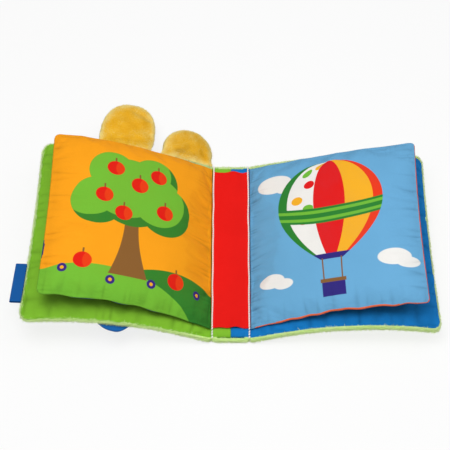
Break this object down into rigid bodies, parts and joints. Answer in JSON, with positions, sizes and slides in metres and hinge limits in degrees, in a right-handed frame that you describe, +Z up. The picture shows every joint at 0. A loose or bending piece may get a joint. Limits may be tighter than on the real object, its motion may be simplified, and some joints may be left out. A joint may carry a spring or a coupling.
{
  "type": "rattle book",
  "caption": "Soft cloth baby book lying open: padded covers and leaves sewn to a spine, plush ears, and an animal head holding a rattle on the outside of the front cover",
  "frame": {"origin": "the middle of the spine's flat underside, on the table that the open book lies on", "axes": "+X across the open book to the right page, +Y along the spine to the top of the pages, +Z up"},
  "size_m": [0.3289, 0.2118, 0.0643],
  "materials": {
    "lime_plush": "short pile plush",
    "gold_plush": "short pile plush",
    "cream_plush": "short pile plush",
    "green_cotton": "plain weave",
    "blue_cotton": "plain weave",
    "red_cotton": "plain weave",
    "orange_print": "printed plain weave",
    "sky_print": "printed plain weave",
    "navy_cotton": "plain weave",
    "coral_cotton": "plain weave",
    "kerchief_blue": "plain weave",
    "label_ribbon": "woven ribbon",
    "wadding": "fibre fill",
    "thread": "sewing thread",
    "rattle_plastic": "moulded",
    "bead_plastic": "moulded"
  },
  "bodies": {
    "spine": {"spine_plush": "lime_plush", "spine_padding": "wadding", "spine_lining_green": "green_cotton", "spine_lining_blue": "blue_cotton", "spine_strip": "red_cotton", "left_stitching": "thread", "right_stitching": "thread"},
    "front_cover": {"front_cover_plush": "lime_plush", "front_cover_padding": "wadding", "front_cover_lining": "green_cotton", "head_plush": "gold_plush", "head_stuffing": "wadding", "muzzle": "cream_plush", "kerchief": "kerchief_blue", "rattle_base": "rattle_plastic", "rattle_lid": "rattle_plastic"},
    "back_cover": {"back_cover_plush": "lime_plush", "back_cover_padding": "wadding", "back_cover_lining": "blue_cotton"},
    "left_leaf": {"left_leaf_back": "navy_cotton", "left_leaf_wadding": "wadding", "left_leaf_front": "orange_print"},
    "right_leaf": {"right_leaf_back": "coral_cotton", "right_leaf_wadding": "wadding", "right_leaf_front": "sky_print"},
    "left_ear": {"left_ear_back": "gold_plush", "left_ear_stuffing": "wadding", "left_ear_front": "gold_plush"},
    "right_ear": {"right_ear_back": "gold_plush", "right_ear_stuffing": "wadding", "right_ear_front": "gold_plush"},
    "side_label": {"side_label": "label_ribbon"},
    "rattle_bead_1": {"rattle_bead_1": "bead_plastic"},
    "rattle_bead_2": {"rattle_bead_2": "bead_plastic"},
    "rattle_bead_3": {"rattle_bead_3": "bead_plastic"}
  },
  "joints": [
    {"name": "front_cover_fold", "type": "hinge", "parent": "spine", "child": "front_cover", "pos_m": [-0.015, 0, 0.0083], "axis": [0, 1, 0], "range_deg": [0, 66]},
    {"name": "back_cover_fold", "type": "hinge", "parent": "spine", "child": "back_cover", "pos_m": [0.015, 0, 0.0083], "axis": [0, -1, 0], "range_deg": [0, 71]},
    {"name": "left_leaf_turn", "type": "hinge", "parent": "front_cover", "child": "left_leaf", "pos_m": [-0.015, 0, 0.0083], "axis": [0, -1, 0], "range_deg": [-64, 0]},
    {"name": "right_leaf_turn", "type": "hinge", "parent": "back_cover", "child": "right_leaf", "pos_m": [0.015, 0, 0.0083], "axis": [0, 1, 0], "range_deg": [-70, 0]},
    {"name": "left_ear_bend", "type": "hinge", "parent": "front_cover", "child": "left_ear", "pos_m": [-0.08745, 0.08094, 0.0318], "axis": [0.9754, 0, -0.2205], "range_deg": [0, 75]},
    {"name": "right_ear_bend", "type": "hinge", "parent": "front_cover", "child": "right_ear", "pos_m": [-0.03648, 0.0822, 0.01487], "axis": [0.9182, 0, -0.396], "range_deg": [0, 75]},
    {"name": "side_label_lift", "type": "hinge", "parent": "front_cover", "child": "side_label", "pos_m": [-0.1584, -0.05, 0.0381], "axis": [0.0572, 0.9984, 0.0022], "range_deg": [0, 60]},
    {"name": "rattle_bead_1_shake", "type": "slide", "parent": "front_cover", "child": "rattle_bead_1", "axis": [0.2764, 0, 0.9611], "range_m": [0, 0.003]},
    {"name": "rattle_bead_2_shake", "type": "slide", "parent": "front_cover", "child": "rattle_bead_2", "axis": [0.2764, 0, 0.9611], "range_m": [0, 0.003]},
    {"name": "rattle_bead_3_shake", "type": "slide", "parent": "front_cover", "child": "rattle_bead_3", "axis": [0.2764, 0, 0.9611], "range_m": [0, 0.003]}
  ]
}
